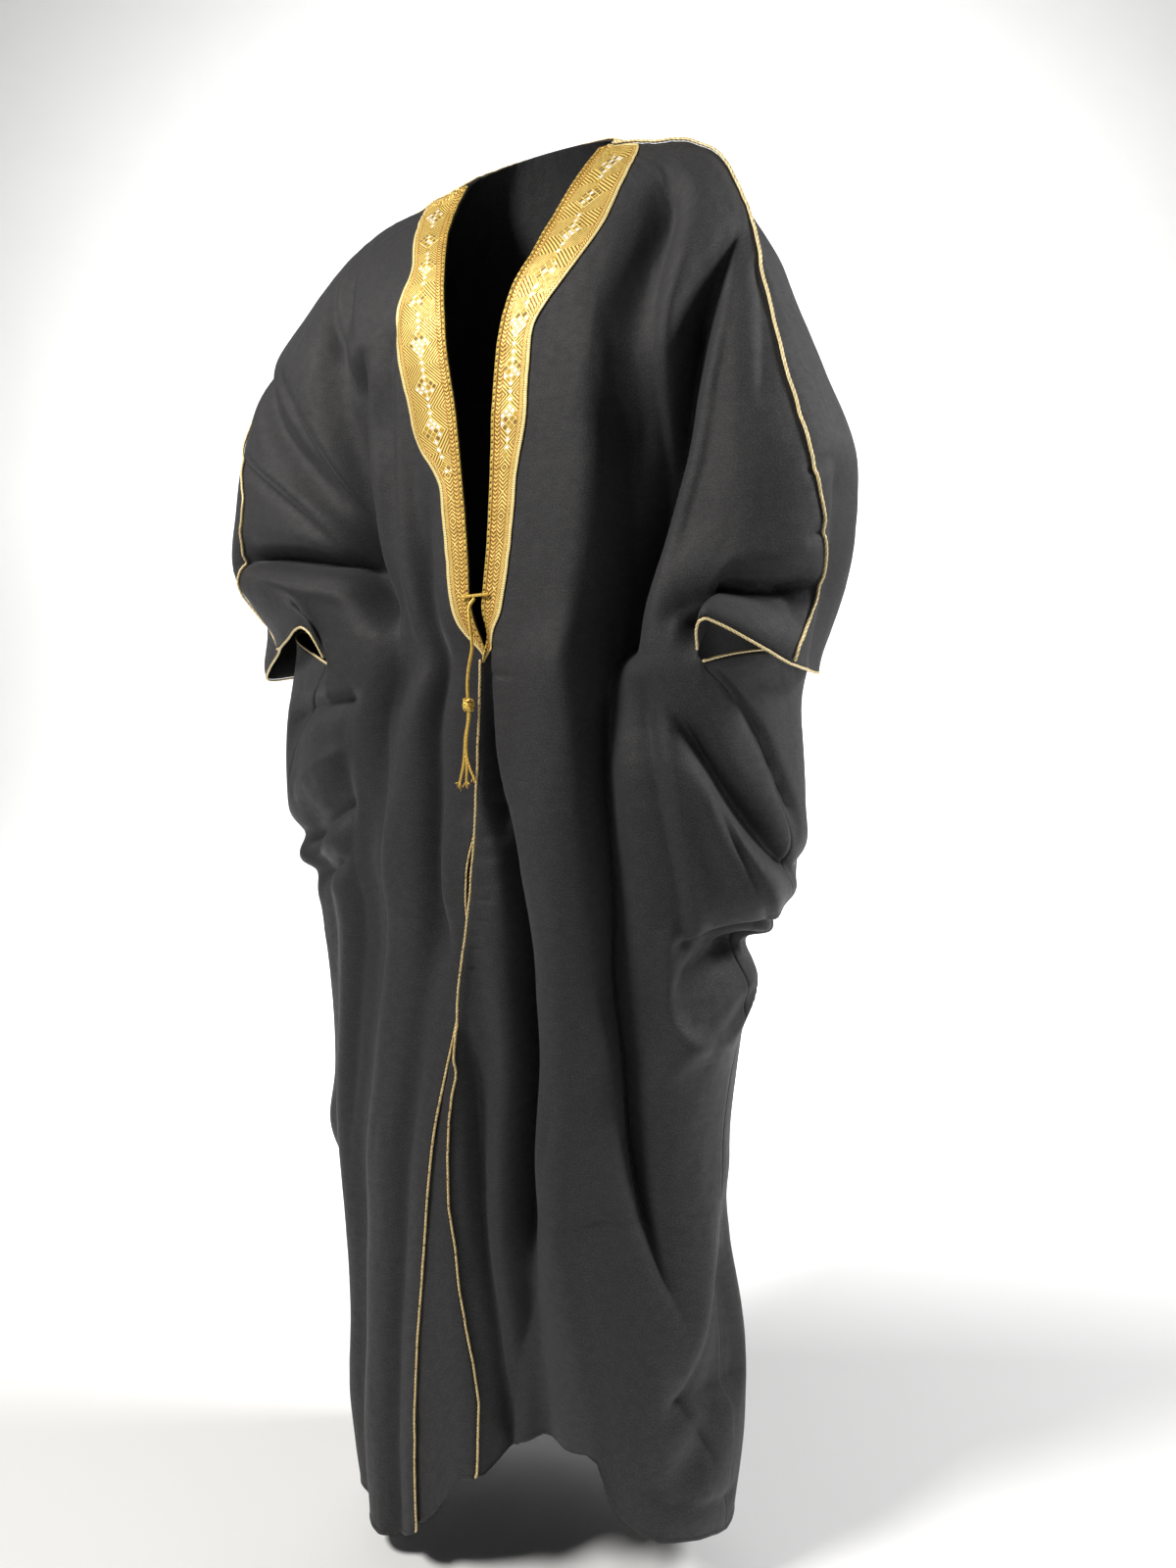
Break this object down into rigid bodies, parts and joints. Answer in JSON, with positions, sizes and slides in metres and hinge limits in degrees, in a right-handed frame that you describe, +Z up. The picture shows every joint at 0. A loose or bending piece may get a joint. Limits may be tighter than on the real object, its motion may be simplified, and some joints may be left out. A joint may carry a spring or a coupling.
{
  "type": "bisht cloak",
  "caption": "Wide open-fronted cloak with draped sleeves, an embroidered band down the neck edge, corded seams and a tie, held in its worn shape.",
  "frame": {"origin": "level with the tops of the shoulders, midway between the two points where neck and shoulder meet, where the wearer's shoulders hold the cloak", "axes": "+Z up, the wearer faces -Y, +X is the wearer's left"},
  "size_m": [0.7361, 0.3289, 1.5175],
  "materials": {
    "black_cloth": "fine crepe with a soft sheen",
    "gold_band": "embroidered metal thread",
    "gold_cord": "twisted metal thread",
    "pale_gold_cord": "twisted pale metal thread"
  },
  "bodies": {
    "root": {"front_left": "black_cloth", "front_right": "black_cloth", "back": "black_cloth", "band_left": "gold_band", "band_right": "gold_band", "neck_braid": "gold_band", "arm_seam_piping_left": "pale_gold_cord", "arm_seam_piping_right": "pale_gold_cord", "cuff_piping_left_over": "pale_gold_cord", "cuff_piping_left_under": "pale_gold_cord", "cuff_piping_right_over": "pale_gold_cord", "cuff_piping_right_under": "pale_gold_cord", "front_cord_left": "pale_gold_cord", "front_cord_right": "pale_gold_cord", "tie_bar": "gold_cord", "tie_cord": "gold_cord", "tie_tassel": "gold_cord"}
  },
  "joints": []
}
